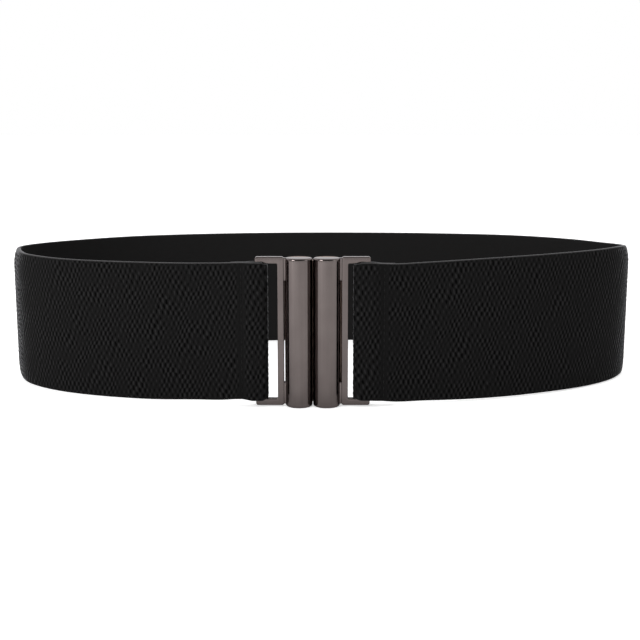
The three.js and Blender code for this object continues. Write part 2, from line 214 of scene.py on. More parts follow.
@dataclass(frozen=True)
class LoopShape:
    """The loop seen from above: an ellipse with departures, and the heights of the band's edges.

    A row of the table stands at an angle round the loop's middle, in degrees: 0 at the right end, 90 at
    the back, 180 at the left end and -90 in front. bulge is a share of the ellipse's radius there.
    lower, upper and curl are shares of the band's width: how far the lower and the upper edge lie
    above their plain heights, and how far both edges roll in.
    """

    length: float = 296 * MM
    depth: float = 147.5 * MM
    thickness: float = 1.8 * MM
    columns: tuple[str, ...] = ("turn", "bulge", "lower", "upper", "curl")
    rows: tuple[tuple[float, ...], ...] = (
        (-180, -0.013, 0.001, 0, 0.026),
        (-165, -0.006, 0.002, 0, 0.024),
        (-150, 0.026, 0.002, -0.001, 0.012),
        (-135, 0.042, 0.003, -0.004, 0),
        (-120, 0.022, 0.004, -0.004, 0),
        (-112, 0.006, 0.014, -0.003, 0),
        (-107, -0.004, 0.02, 0.002, 0),
        (-103, -0.01, 0.034, 0.009, 0),
        (-100.5, -0.014, 0.027, 0.01, 0),
        (-83, -0.02, 0.027, 0.009, 0),
        (-80, -0.022, 0.018, -0.002, 0),
        (-77, -0.023, 0.005, -0.007, 0),
        (-73, -0.025, 0.001, -0.004, 0),
        (-60, -0.031, -0.008, 0.013, 0),
        (-45, -0.036, -0.009, 0.024, 0),
        (-30, -0.026, -0.01, 0.028, 0.01),
        (-15, -0.012, -0.008, 0.026, 0.022),
        (0, 0, 0, 0.008, 0.024),
        (15, -0.012, 0, 0, 0.022),
        (30, 0.002, 0, 0, 0.012),
        (50, 0.034, 0, 0, 0),
        (65, 0.02, 0, 0, 0),
        (85, -0.004, 0, 0, 0),
        (105, -0.016, 0, 0, 0),
        (130, -0.03, 0, 0, 0),
        (150, -0.054, 0, 0, 0.012),
        (165, -0.038, 0.001, 0, 0.024),
    )

    def column(self, name: str, turn: Array) -> Array:
        """One column of the table at any angle, smooth from row to row and round again.

        Between two rows it is the Hermite cubic whose slope at a row is that of the line between the
        row's two neighbours.

        Args:
            name: The column.
            turn: The angles in degrees.

        Returns:
            The column's value at each angle.
        """
        table, round_again = np.array(self.rows), np.array([360, 0, 0, 0, 0])
        table = np.concatenate([table[-2:] - round_again, table, table[:2] + round_again])
        turns, values = table[:, 0], table[:, self.columns.index(name)]
        slopes = np.zeros(len(turns))
        slopes[1:-1] = (values[2:] - values[:-2]) / (turns[2:] - turns[:-2])
        angle = (np.asarray(turn, dtype=float) + 180) % 360 - 180
        i = np.clip(np.searchsorted(turns, angle, side="right") - 1, 1, len(turns) - 3)
        gap = turns[i + 1] - turns[i]
        return hermite(values[i], values[i + 1], slopes[i], slopes[i + 1], gap, (angle - turns[i]) / gap)

    def outside(self, turn: Array) -> Array:
        """The loop's outer face from above, in plan coordinates whose origin is its front's middle.

        x is half the length times k cos(turn), and y is half the depth times 1 + k sin(turn), with k
        one more than the bulge.

        Args:
            turn: The angles in degrees.

        Returns:
            One row of x and y for each angle.
        """
        radians, reach = np.radians(turn), 1 + self.column("bulge", turn)
        x = self.length / 2 * reach * np.cos(radians)
        y = self.depth / 2 * (1 + reach * np.sin(radians))
        return np.stack([x, y], axis=-1)

    def middle(self, turn: Array) -> Array:
        """The middle of the wall, half a thickness inside the outer face along its normal.

        Args:
            turn: The angles in degrees.

        Returns:
            One row of x and y for each angle.
        """
        half_degree = 0.5
        along = self.outside(turn + half_degree) - self.outside(turn - half_degree)
        along /= np.linalg.norm(along, axis=-1, keepdims=True)
        inward = np.stack([-along[..., 1], along[..., 0]], axis=-1)
        return self.outside(turn) + inward * self.thickness / 2

    def front_turn(self, x: float) -> float:
        """The angle at which the front of the loop's middle line passes a place along X."""
        turns = np.linspace(-179, -1, 3561)
        return float(np.interp(x, self.middle(turns)[:, 0], turns))

    def turn_of(self, x: Array, y: Array) -> Array:
        """The table's angle at a place in plan, in degrees."""
        return np.degrees(np.arctan2(2 * y / self.depth - 1, 2 * x / self.length))


@dataclass
class BuckleSizes:
    """The driving sizes of the buckle. Both halves are alike but for the hook and the catch."""

    offset: float = -3.15 * MM
    setback: float = 2.5 * MM
    clearance: float = 0.3 * MM
    frame_margin: float = 3.4 * MM
    frame_depth: float = 3 * MM
    rail: float = 2.8 * MM
    inner_bar: float = 2.7 * MM
    outer_bar: float = 3 * MM
    window: float = 6.3 * MM
    corner: float = 0.6 * MM
    edge_radius: float = 0.32 * MM
    roll_radius: float = 5.7 * MM
    roll_drop: float = 0.45 * MM
    roll_rounding: float = 0.8 * MM
    roll_slit: float = 0.6 * MM
    lug_height: float = 9.5 * MM
    lug_depth: float = 2.2 * MM
    lug_bite: float = 1 * MM
    lug_inset: float = 0.5 * MM
    lug_rounding: float = 0.25 * MM
    hook_lower_margin: float = 0.4 * MM
    hook_upper_margin: float = 2.2 * MM
    hook_thickness: float = 1.4 * MM
    hook_lip: float = 1.7 * MM
    hook_root: float = 2 * MM
    catch_lip: float = 1.4 * MM
    catch_setback: float = 3.8 * MM
    hook_rounding: float = 0.2 * MM
    band_width: float = 60 * MM

    def __post_init__(self) -> None:
        """Adds up the distances from the buckle's middle outward, and the heights."""
        self.roll_out = self.clearance / 2 + self.roll_radius
        self.frame_in = self.roll_out + self.roll_radius + self.roll_slit
        self.window_in = self.frame_in + self.inner_bar
        self.window_out = self.window_in + self.window
        self.frame_out = self.window_out + self.outer_bar
        self.height = self.band_width + self.frame_margin
        self.frame_middle = self.roll_drop + self.height / 2


@dataclass(frozen=True)
class PlanPlace:
    """Where the plan's origin, the middle of the loop's front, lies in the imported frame."""

    x: float
    y: float

    @classmethod
    def from_frame(cls, sizes: BuckleSizes) -> "PlanPlace":
        """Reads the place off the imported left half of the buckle."""
        low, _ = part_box("buckle_half_left")
        return cls(low.x + sizes.frame_out - sizes.offset, low.y + sizes.roll_radius - sizes.setback)


@dataclass(frozen=True)
class Fold:
    """How loosely the band passes round one outer bar."""

    side: Side
    slack: float
    turn_radius: float


@dataclass(frozen=True)
class Drift:
    """One slow wave by which worn elastic pulls its floats out of line."""

    along: float
    up: float
    push_along: float
    push_up: float
    start: float


@dataclass(frozen=True)
class Weave:
    """The staggered lattice of raised and sunken floats on the band's outer face."""

    pitch: float = 2.25 * MM
    rows: int = 28
    relief: float = 0.13 * MM
    fold_relief: float = 0.2 * MM
    selvedge_and_rim_highlight: float = 1.5 * MM
    steps_per_pitch: int = 4
    drifts: tuple[Drift, ...] = (
        Drift(31 * MM, 29 * MM, 0.35 * MM, 0.3 * MM, 0.4),
        Drift(-13.7 * MM, 14 * MM, 0.16 * MM, 0.24 * MM, 2.1),
        Drift(7.9 * MM, 23 * MM, 0.1 * MM, 0.15 * MM, 4.0),
        Drift(-19 * MM, -43 * MM, 0.3 * MM, 0.35 * MM, 1.2),
    )

    def drifted(self, at: Array, height: Array) -> tuple[Array, Array]:
        """The place in the even lattice that has drifted to a place on the band.

        Each wave adds its push times sin(2 pi (at / along + height / up) + start).

        Args:
            at: The distance along the band.
            height: The distance up it.

        Returns:
            The distances along and up in the even lattice.
        """
        waves = [np.sin(FULL_TURN * (at / d.along + height / d.up) + d.start) for d in self.drifts]
        along = sum(d.push_along * wave for d, wave in zip(self.drifts, waves))
        up = sum(d.push_up * wave for d, wave in zip(self.drifts, waves))
        return at + along, height + up


@dataclass
class ElasticBand:
    """The woven band: its path round the bars and the loop, its closed wall and its weave."""

    buckle: BuckleSizes
    place: PlanPlace
    loop: LoopShape = LoopShape()
    weave: Weave = Weave()
    folds: tuple[Fold, Fold] = (
        Fold(Side.LEFT, 0.45 * MM, 1.6 * MM),
        Fold(Side.RIGHT, 2.3 * MM, 2.4 * MM),
    )
    edge_round: float = 0.45 * MM
    curl_reach: float = 8 * MM
    lower_curl: float = 0.3
    layer_gap: float = 0.3 * MM
    stitch_out: float = 29.8 * MM
    tail_beyond_stitch: float = 4.7 * MM
    approach: float = 20 * MM
    settle: float = 0.5 * MM
    seam_slope: float = 0.2
    seam_dip: float = 0.22 * MM
    seam_reach: float = 0.9 * MM
    seam_flattening: float = 0.8
    inner_rows: int = 8
    edge_steps: int = 3
    layer_points: int = 60
    tail_steps: int = 20
    arc_points: int = 25
    loop_points: int = 2401
    sharp_from: float = math.radians(60)

    def __post_init__(self) -> None:
        """Joins left fold, loop and right fold, and sets stations at even steps along the whole line."""
        (left, left_turn, left_seams), (right, right_turn, right_seams) = map(self._fold_line, self.folds)
        around = self.loop.middle(np.linspace(left_turn, right_turn - 360, self.loop_points))
        around = np.column_stack([around, np.full(len(around), np.nan)])
        line = np.concatenate([left, around, right[::-1]])
        steps = np.linalg.norm(np.diff(line[:, :2], axis=0), axis=-1)
        along = np.concatenate([[0], np.cumsum(steps)])
        same_place = 1e-9
        keep = np.concatenate([[True], steps > same_place])
        self.length = float(along[-1])
        self.pitches = round(self.length / self.weave.pitch)
        self.at = np.linspace(0, self.length, self.pitches * self.weave.steps_per_pitch + 1)
        in_fold = np.isfinite(line[:, 2])
        tracks = (line[:, 0], line[:, 1], np.where(in_fold, line[:, 2], 0), in_fold.astype(float))
        self.x, self.y, self.squeeze, in_fold = (
            np.interp(self.at, along[keep], track[keep]) for track in tracks)
        self.in_fold = in_fold > 0.5
        self.seam_at = along[np.concatenate([left_seams, len(line) - 1 - right_seams])]

    @property
    def width(self) -> float:
        """The band's width, for which the buckle is made."""
        return self.buckle.band_width

    @property
    def half(self) -> float:
        """Half the band's thickness."""
        return self.loop.thickness / 2

    @property
    def folded_reach(self) -> float:
        """From a bar's middle plane to the middle of a layer of the band that lies on it."""
        return self.buckle.frame_depth / 2 + self.buckle.clearance + self.half

    @property
    def sewn_reach(self) -> float:
        """From the seam's middle plane to the middle of either layer there."""
        return (self.layer_gap + self.loop.thickness) / 2

    def _fold_line(self, fold: Fold) -> tuple[Array, float, Array]:
        """Follows one fold from the tail's end round the bar and into the loop.

        The tail lies behind the bar and closes up to the front layer at the seam. The band turns at the
        bar with a flat and two quarter arcs, passes in front of the bar, dips to the seam along one
        cubic, and runs into the loop along a second one.

        Args:
            fold: The fold.

        Returns:
            The line's rows of x, y and squeeze; the loop's angle where it ends; and the numbers of the
            rows that lie at the seam, on the tail and on the front layer.
        """
        b, side, stitch = self.buckle, fold.side.value, self.stitch_out
        loop_turn = self.loop.front_turn(b.offset + side * (stitch + self.approach))
        start, after = self.loop.middle(np.array([loop_turn, loop_turn + side]))
        loop_slope = (after[1] - start[1]) / abs(after[0] - start[0])
        settle_out = b.frame_out + self.settle
        turn_out = b.window_out - fold.slack - self.half
        closing_length = stitch - settle_out

        def front_back(out: Array) -> Array:
            """How far the front layer lies behind the buckle's middle plane."""
            closing = hermite(-self.folded_reach, -self.sewn_reach, 0, self.seam_slope, closing_length,
                              np.clip((out - settle_out) / closing_length, 0, 1))
            running = hermite(-self.sewn_reach, start[1] - b.setback, self.seam_slope, loop_slope,
                              self.approach, np.clip((out - stitch) / self.approach, 0, 1))
            return np.where(out <= stitch, closing, running)

        def tail_back(out: Array) -> Array:
            """How far the tail lies behind the buckle's middle plane."""
            closing = smooth_step((out - settle_out) / closing_length)
            return self.folded_reach + (front_back(out) + 2 * self.sewn_reach - self.folded_reach) * closing

        layer = np.linspace(turn_out + fold.turn_radius, stitch, self.layer_points)
        tail = np.linspace(stitch, stitch + self.tail_beyond_stitch, self.tail_steps + 1)[1:]
        tail = np.concatenate([layer, tail])[::-1]
        quarter = np.linspace(0, QUARTER_TURN, self.arc_points)
        arc_out = turn_out + fold.turn_radius * (1 - np.sin(quarter))
        arc_back = self.folded_reach - fold.turn_radius * (1 - np.cos(quarter))
        front = np.linspace(stitch, stitch + self.approach, self.layer_points + 1)[1:-1]
        front = np.concatenate([layer, front])
        turned = np.sin(quarter)
        line = np.stack([
            b.offset + side * np.concatenate([tail, arc_out, arc_out[::-1], front]),
            b.setback + np.concatenate([tail_back(tail), arc_back, -arc_back[::-1], front_back(front)]),
            np.concatenate([0 * tail, turned, turned[::-1], 0 * front]),
        ], axis=-1)
        return line, loop_turn, np.array([self.tail_steps, len(tail) + 2 * len(quarter) + len(layer) - 1])

    def edges(self) -> tuple[Array, Array, Array]:
        """The heights of the band's two edges and the curl at each station.

        The edges follow the loop's table. The whole band stands on its back edge and is carried by the
        window's middle in front, and where it passes the window it is squeezed to the window's height.

        Returns:
            The lower heights, the upper heights and the curls.
        """
        b, column = self.buckle, self.loop.column
        fold_turn = [self.loop.front_turn(b.offset + s.value * b.frame_out) for s in Side]
        fold_turn = np.where(self.x < b.offset, *fold_turn)
        in_fold = self.in_fold & (np.abs(self.x - b.offset) < b.frame_out)
        turn = np.where(in_fold, fold_turn, self.loop.turn_of(self.x, self.y))
        fold_middle = (1 + column("lower", fold_turn) + column("upper", fold_turn)) / 2
        carried = b.frame_middle - self.width * fold_middle
        lift = carried * np.clip(1 - self.y / self.loop.depth, 0, 1)
        low = self.width * column("lower", turn) + lift
        high = self.width * (1 + column("upper", turn)) + lift
        window = b.height - 2 * b.rail - 2 * b.clearance
        low = low + self.squeeze * (np.maximum(low, b.frame_middle - window / 2) - low)
        high = high + self.squeeze * (np.minimum(high, b.frame_middle + window / 2) - high)
        return low, high, self.width * column("curl", turn)

    def _section(self) -> tuple[Array, Array, Array, Array]:
        """The closed outline of the band's cross-section.

        It climbs the outer face in half rows of the weave, goes over the rounded upper edge, down the
        inner face and round the lower edge. The inner rows lie closer together by the edges, where the
        band curls: their share of the width is (1 + cos t) / 2 for even steps of t.

        Returns:
            For each point, its place across the wall, its share of the width, whether it is on the
            outer face and whether it is on an edge.
        """
        corner = self.edge_round / self.width
        outer = np.linspace(0, 1, 2 * self.weave.rows + 1)
        outer[0], outer[-1] = corner, 1 - corner
        inner = 0.5 + (0.5 - corner) * np.cos(np.linspace(0, math.pi, self.inner_rows + 1))
        inset, across = (row[1:-1] for row in edge_profile(self.half, self.edge_round, self.edge_steps))
        level = np.concatenate([outer, 1 - inset / self.width, inner, inset / self.width])
        place = np.concatenate([0 * outer - self.half, across, 0 * inner + self.half, -across])
        part = np.repeat([0, 1, 2, 1], [len(outer), len(inset), len(inner), len(inset)])
        return place, level, (part == 0).astype(float), (part == 1).astype(float)

    def _by_seam(self, at: Array, reach: float) -> Array:
        """1 at a seam, falling to 0 past the reach as exp(-(distance / reach)^2)."""
        return np.exp(-((np.abs(at[..., None] - self.seam_at).min(axis=-1) / reach) ** 2))

    def _relief(self, at: Array, level: Array, is_outer: Array) -> Array:
        """How far the weave and the seams move the outer face outward.

        The lattice is cos(2 pi a) cos(pi b), with a counted in pitches along the band and b in rows up
        it, so raised floats stand in staggered rows with sunken ones between them, and the drift bends
        the rows. It fades out at the selvedges and at the seams, where the thread pulls the band in
        along a smooth dip, and it opens up where the band turns round a bar.

        Args:
            at: The distance along the band.
            level: The share of the width.
            is_outer: 1 on the outer face and 0 elsewhere.

        Returns:
            The outward moves.
        """
        w = self.weave
        even_at, even_height = w.drifted(at, level * self.width)
        wave_along = np.cos(FULL_TURN * even_at * self.pitches / self.length)
        lattice = wave_along * np.cos(math.pi * even_height * w.rows / self.width)
        from_edge = self.width * np.minimum(level, 1 - level)
        fade = smooth_step((from_edge - w.selvedge_and_rim_highlight / 3) / w.selvedge_and_rim_highlight)
        seam = self._by_seam(at, self.seam_reach)
        height = w.relief + (w.fold_relief - w.relief) * np.interp(at, self.at, self.squeeze)
        floats = height * lattice * fade * (1 - self.seam_flattening * seam)
        return is_outer * (floats - self.seam_dip * seam)

    def surface_point(self, at: Array, level: Array, out: Array) -> Array:
        """A place on or over the band's outer face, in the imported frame.

        Args:
            at: The distance along the band.
            level: The share of the width.
            out: How far outside the plain outer face it lies.

        Returns:
            One row of three coordinates for each place.
        """
        tracks = (*self.edges(), self.x, self.y, np.gradient(self.x, self.at), np.gradient(self.y, self.at))
        low, high, curl, x, y, way_x, way_y = (np.interp(at, self.at, track) for track in tracks)
        size = np.hypot(way_x, way_y)
        from_edge = self.width * np.minimum(level, 1 - level)
        curl = np.where(level < 0.5, curl * self.lower_curl, curl)
        reach = curl * np.clip(1 - from_edge / self.curl_reach, 0, 1) ** 2 - self.half - out
        return np.stack([
            x + way_y / size * reach + self.place.x,
            y - way_x / size * reach + self.place.y,
            low + (high - low) * level,
        ], axis=-1)

    def build(self) -> Piece:
        """Builds the band's closed wall with its weave, its map of distances and its material's numbers.

        Each point of the section is carried along the stations, at its place across the wall and its
        share of the width there.

        Returns:
            The band.
        """
        place, level, is_outer, is_edge = self._section()
        at, level = np.meshgrid(self.at, level, indexing="ij")
        across, is_outer, is_edge = (np.broadcast_to(row, at.shape) for row in (place, is_outer, is_edge))
        out = -self.half - across + self._relief(at, level, is_outer)
        band = make_closed_object("elastic_band", [self.surface_point(at, level, out)])
        band.data.set_sharp_from_angle(angle=self.sharp_from)
        even = self.weave.drifted(at, level * self.width)
        store_uv(band, "weave", np.stack(even, axis=-1).reshape(-1, 2))
        shade = self._by_seam(at, 2 * self.seam_reach)
        # The rounded edges are marked for the material's painted highlight, and the seams for a fainter
        # weave.
        for name, values in {"outer_face": is_outer, "selvedge_and_rim_highlight": is_edge, "seam_shade": shade}.items():
            attribute = band.data.attributes.new(name, "FLOAT", "POINT")
            attribute.data.foreach_set("value", values.astype(np.float32).ravel())
        return band


@dataclass
class SeamThread:
    """The upright row of lockstitches that sews one tail to its front layer."""

    band: ElasticBand
    side: Side
    stitch_length: float = 2.6 * MM
    thread_radius: float = 0.19 * MM
    margin: float = 1.6 * MM
    lift: float = 0.02 * MM
    dive: float = 0.04
    fullness: float = 0.35
    along_steps: int = 9
    around_steps: int = 8

    def _stitch(self, seam: float, low: float, high: float) -> Array:
        """One stitch: a tube whose radius and lift follow half a sine, so both its ends dive in.

        Args:
            seam: The distance of the seam along the band.
            low: The height share at which the stitch starts.
            high: The height share at which it ends.

        Returns:
            The tube's rings of points.
        """
        share = np.linspace(0, 1, self.along_steps)[:, None]
        swell = np.sin(math.pi * np.clip(share, self.dive, 1 - self.dive)) ** self.fullness
        angle = np.linspace(0, FULL_TURN, self.around_steps, endpoint=False)
        radius = self.thread_radius * swell
        out = self.lift - self.band.seam_dip + radius * np.cos(angle) - self.thread_radius * (1 - swell)
        at = seam + radius * np.sin(angle)
        return self.band.surface_point(at, np.broadcast_to(low + (high - low) * share, at.shape), out)

    def build(self) -> Piece:
        """Builds all the stitches of one seam, on its front layer and on its tail.

        Returns:
            The thread.
        """
        seams = self.band.seam_at[:2] if self.side is Side.LEFT else self.band.seam_at[2:]
        margin = self.margin / self.band.width
        count = int((1 - 2 * margin) / (self.stitch_length / self.band.width))
        step = (1 - 2 * margin) / count
        starts = margin + np.arange(count) * (1 - 2 * margin) / count
        stitches = [self._stitch(seam, start, start + step) for seam in seams for start in starts]
        return make_closed_object(f"seam_thread_{self.side.word}", stitches)


# The buckle


def rounded_rectangle(box: tuple[float, ...], radius: float, corner_steps: int) -> Array:
    """The outline of a rectangle with quarter-circle corners, counterclockwise.

    Each corner is its centre plus radius times (cos, sin) of an angle that grows by a quarter turn.

    Args:
        box: The left, right, low and high coordinates.
        radius: The corners' radius.
        corner_steps: Steps in each corner.

    Returns:
        One row of two coordinates for each point.
    """
    left, right, low, high = box
    angle = np.linspace(0, QUARTER_TURN, corner_steps + 1) + np.arange(4)[:, None] * QUARTER_TURN
    corners = np.array([[right, high], [left, high], [left, low], [right, low]])
    centres = corners + radius * np.array([[-1, -1], [1, -1], [1, 1], [-1, 1]])
    return (centres[:, None] + radius * np.stack([np.cos(angle), np.sin(angle)], axis=-1)).reshape(-1, 2)


def inset_outline(outline: Array, inset: float) -> Array:
    """Moves a counterclockwise outline of straight sides inward by an even distance.

    Each corner moves by the inset along the sum of its two sides' inward normals, divided by one plus
    the cosine of the angle between them.

    Args:
        outline: The corners.
        inset: The distance.

    Returns:
        The moved corners.
    """
    sides = np.roll(outline, -1, axis=0) - outline
    sides /= np.linalg.norm(sides, axis=-1, keepdims=True)
    normals = np.stack([-sides[:, 1], sides[:, 0]], axis=-1)
    before = np.roll(normals, 1, axis=0)
    return outline + inset * (normals + before) / (1 + (normals * before).sum(axis=-1, keepdims=True))


class Upright(Enum):
    """Which way a slab stands: which of its outline's two coordinates and its depth are X, Y and Z."""

    FACING = (0, 2, 1)
    STANDING = (0, 1, 2)


def slab_grid(outline: Array, depth: float, rounding: float, upright: Upright) -> Array:
    """A slab with rounded edges: its outline carried along the rounded edge profile.

    Args:
        outline: The counterclockwise corners.
        depth: The slab's whole thickness.
        rounding: The edges' radius.
        upright: Which way the slab stands.

    Returns:
        Its rows of points.
    """
    inset, place = edge_profile(depth / 2, rounding, 3)
    rings = np.stack([inset_outline(outline, value) for value in inset])
    across = np.broadcast_to(place[:, None], rings.shape[:2])
    return np.concatenate([rings, across[..., None]], axis=-1)[..., upright.value]


@dataclass
class BuckleHalf:
    """One casting of the buckle: a roll, a frame, the lugs between them, and a hook or a catch."""

    side: Side
    sizes: BuckleSizes
    place: PlanPlace
    roll_sides: int = 160
    roll_rows: int = 72
    roll_edge_steps: int = 6
    frame_edge_steps: int = 4
    corner_steps: int = 5
    sharp_from: float = math.radians(32)

    def _roll(self) -> Array:
        """The round upright bar, turned from a profile with a rounding at each end.

        The profile goes up from the lower flat through a quarter circle, up the side and through a
        second quarter circle, and each of its points makes a ring of x = r cos, y = r sin.

        Returns:
            Its rings of points.
        """
        s = self.sizes
        inset, place = edge_profile(0, s.roll_rounding, self.roll_edge_steps)
        end = len(inset) // 2
        side = np.linspace(s.roll_rounding, s.height - s.roll_rounding, self.roll_rows)[1:-1]
        radius = s.roll_radius - np.concatenate([inset[:end], 0 * side, inset[end:]])[:, None]
        height = np.concatenate([place[:end], side, s.height + place[end:]])[:, None]
        turn = np.linspace(0, FULL_TURN, self.roll_sides, endpoint=False)
        rings = np.broadcast_arrays(s.roll_out + radius * np.cos(turn), radius * np.sin(turn), height)
        return np.stack(rings, axis=-1)

    def _frame(self) -> Array:
        """The flat frame with its window, as one closed ring of rounded bars.

        Each point of the bars' section is an outline of its own: the outer ones are the frame's
        rectangle moved in, and the inner ones are the window's moved out, by the edges' rounding.

        Returns:
            Its rings of points, of which the last joins the first.
        """
        s, steps = self.sizes, self.corner_steps
        inset, place = edge_profile(s.frame_depth / 2, s.edge_radius, self.frame_edge_steps)
        low, high = s.roll_drop, s.roll_drop + s.height
        outer = [rounded_rectangle((s.frame_in + e, s.frame_out - e, low + e, high - e),
                                   s.corner + s.edge_radius - e, steps) for e in inset]
        inner = [rounded_rectangle((s.window_in - e, s.window_out + e, low + s.rail - e, high - s.rail + e),
                                   s.corner + e, steps) for e in inset[::-1]]
        rings = np.stack(outer + inner)
        across = np.broadcast_to(np.concatenate([place, place[::-1]])[:, None], rings.shape[:2])
        return np.stack([rings[..., 0], across, rings[..., 1]], axis=-1)

    def _lug(self, low: float) -> Array:
        """One lug across the slit between roll and frame.

        Args:
            low: The lug's lowest height.

        Returns:
            Its rings of points.
        """
        s = self.sizes
        near, far = s.frame_in - s.roll_slit - s.lug_bite, s.frame_in + s.lug_bite
        outline = np.array([[near, low], [far, low], [far, low + s.lug_height], [near, low + s.lug_height]])
        return slab_grid(outline, s.lug_depth, s.lug_rounding, Upright.FACING)

    def _fastener(self) -> Array:
        """The hook behind the left roll, or the catch behind the right one that the hook holds.

        Either is a plate nearly as high as the frame. The corners of its plan run counterclockwise, and
        their X grows to the right on both sides until the last line turns the left one round.

        Returns:
            Its rings of points.
        """
        s = self.sizes
        catch_back = s.catch_setback + s.catch_lip
        catch_x = -(s.catch_lip + s.clearance) / 2
        hook_x = catch_x + s.catch_lip + s.clearance
        hook_front = catch_back + s.hook_lip + s.clearance
        if self.side is Side.LEFT:
            foot, root = -s.roll_out, s.roll_radius - s.lug_bite
            hook_back, hook_end = hook_front + s.hook_thickness, hook_x + s.hook_thickness
            arm_end = -s.frame_in + s.clearance / 2
            corners = [
                (foot, root), (foot + s.hook_root, root), (foot + s.hook_root, hook_front),
                (hook_x, hook_front), (hook_x, catch_back + s.clearance),
                (hook_end, catch_back + s.clearance), (hook_end, hook_back), (arm_end, hook_back),
                (arm_end, hook_front), (foot, hook_front),
            ]
        else:
            arm_end = s.frame_in + s.lug_bite
            lip_end, lip_back = catch_x + s.catch_lip, catch_back + s.hook_lip
            corners = [
                (catch_x, s.catch_setback), (arm_end, s.catch_setback), (arm_end, catch_back),
                (lip_end, catch_back), (lip_end, lip_back), (catch_x, lip_back),
            ]
        height = s.height - s.hook_lower_margin - s.hook_upper_margin
        middle = s.roll_drop + s.hook_lower_margin + height / 2
        plate = slab_grid(np.array(corners), height, s.hook_rounding, Upright.STANDING) + [0, 0, middle]
        return plate * [self.side.value, 1, 1]

    def build(self) -> Piece:
        """Joins the parts of this half into one casting.

        Their grids are measured outward from the buckle's middle, so those on the left are mirrored.

        Returns:
            The casting.
        """
        s = self.sizes
        lower = s.roll_drop + s.lug_inset
        upper = s.roll_drop + s.height - s.lug_inset - s.lug_height
        mirror, middle = [self.side.value, 1, 1], [s.offset + self.place.x, s.setback + self.place.y, 0]

        def part(grid: Array, rows_wrap: bool = False) -> Piece:
            """Makes an object of one part."""
            return make_closed_object("part", [grid * mirror + middle], rows_wrap)

        casting = part(self._roll())
        fuse(casting, part(self._frame(), rows_wrap=True))
        for grid in (self._lug(lower), self._lug(upper), self._fastener()):
            fuse(casting, part(grid))
        casting.name = casting.data.name = f"buckle_{self.side.word}_casting"
        casting.data.shade_smooth()
        casting.data.set_sharp_from_angle(angle=self.sharp_from)
        return casting


def fuse(base: Piece, added: Piece) -> None:
    """Fuses one closed piece to another, as metal that was cast in one.

    Args:
        base: The piece that stays, and gets a new mesh.
        added: The piece that becomes part of it.
    """
    union = base.modifiers.new("fuse", "BOOLEAN")
    union.operation, union.solver, union.object = "UNION", "EXACT", added
    bpy.context.view_layer.update()
    shown = base.evaluated_get(bpy.context.evaluated_depsgraph_get())
    fused, spent = bpy.data.meshes.new_from_object(shown), (base.data, added.data)
    base.modifiers.clear()
    base.data = fused
    bpy.data.objects.remove(added)
    for mesh in spent:
        bpy.data.meshes.remove(mesh)


# Finishes


class NodeTree:
    """A short way to write the nodes of a material or of the world."""

    def __init__(self, owner: bpy.types.ID) -> None:
        """Starts with the one shader that a new material or world has."""
        owner.use_nodes = True
        self.owner, self.tree = owner, owner.node_tree
        self.shader = next(n for n in self.tree.nodes if n.type in ("BSDF_PRINCIPLED", "BACKGROUND"))

    def feed(self, node: bpy.types.Node, inputs: dict[str | int, object]) -> None:
        """Links a node's inputs to other nodes' sockets, or sets their plain values and colours.

        Args:
            node: The node.
            inputs: What each named or numbered input is.
        """
        for name, value in inputs.items():
            socket = node.inputs[name]
            if isinstance(value, Socket):
                self.tree.links.new(value, socket)
            else:
                socket.default_value = (*value, 1) if socket.type == "RGBA" else value

    def node(self, kind: str, inputs: dict[str | int, object] | None = None,
             **settings: object) -> Sockets:
        """Adds a node.

        Args:
            kind: The node's type without its ShaderNode start.
            inputs: What each named or numbered input is.
            settings: The node's own settings.

        Returns:
            Its outputs.
        """
        made = self.tree.nodes.new("ShaderNode" + kind)
        for name, value in settings.items():
            setattr(made, name, value)
        self.feed(made, inputs or {})
        return made.outputs

    def noise(self, place: Socket, scale: float, detail: float = 2.0, roughness: float = 0.5,
              dimensions: str = "3D") -> Sockets:
        """Adds a noise, whose outputs are a value and a colour."""
        inputs = {"Vector": place, "Scale": scale, "Detail": detail, "Roughness": roughness}
        return self.node("TexNoise", inputs, noise_dimensions=dimensions)

    def attribute(self, name: str) -> Socket:
        """The numbers that are stored under a name for each point."""
        return self.node("Attribute", attribute_name=name)["Fac"]

    def scaled(self, place: Socket, *scale: float) -> Socket:
        """A place times three scales."""
        return self.node("Mapping", {"Vector": place, "Scale": scale})[0]

    def math(self, operation: str, *values: object) -> Socket:
        """The named operation on sockets or numbers."""
        return self.node("Math", dict(enumerate(values)), operation=operation)[0]

    def times(self, first: object, second: object) -> Socket:
        """The product of two sockets or numbers."""
        return self.math("MULTIPLY", first, second)

    def plus(self, wave: object, share: object, base: object) -> Socket:
        """A share of one value added to another."""
        return self.math("MULTIPLY_ADD", wave, share, base)

    def shaped(self, wave: object, power: float) -> Socket:
        """Narrows or fills out a wave round zero: its sign times its size to a power."""
        return self.times(self.math("SIGN", wave), self.math("POWER", self.math("ABSOLUTE", wave), power))

    def spread(self, value: object, low: float, high: float, to_low: float = 0.0, to_high: float = 1.0,
               way: str = "LINEAR") -> Socket:
        """Carries a range of values to another range, held at both ends."""
        inputs = {"Value": value, "From Min": low, "From Max": high, "To Min": to_low, "To Max": to_high}
        return self.node("MapRange", inputs, interpolation_type=way)[0]

    def mix(self, share: object, first: object, second: object) -> Socket:
        """Mixes two colours: the first at share 0 and the second at share 1."""
        return self.node("MixRGB", {"Fac": share, "Color1": first, "Color2": second})[0]

    def ramp(self, value: object, *stops: tuple[float, Colour]) -> Socket:
        """Turns a value into a colour.

        Args:
            value: The value.
            stops: Places from 0 to 1, each with its colour.

        Returns:
            The colour.
        """
        colour = self.node("ValToRGB", {"Fac": value})["Color"]
        elements = colour.node.color_ramp.elements
        for place, _ in stops[2:]:
            elements.new(place)
        for element, (place, shade) in zip(elements, sorted(stops)):
            element.position, element.color = place, (*shade, 1)
        return colour


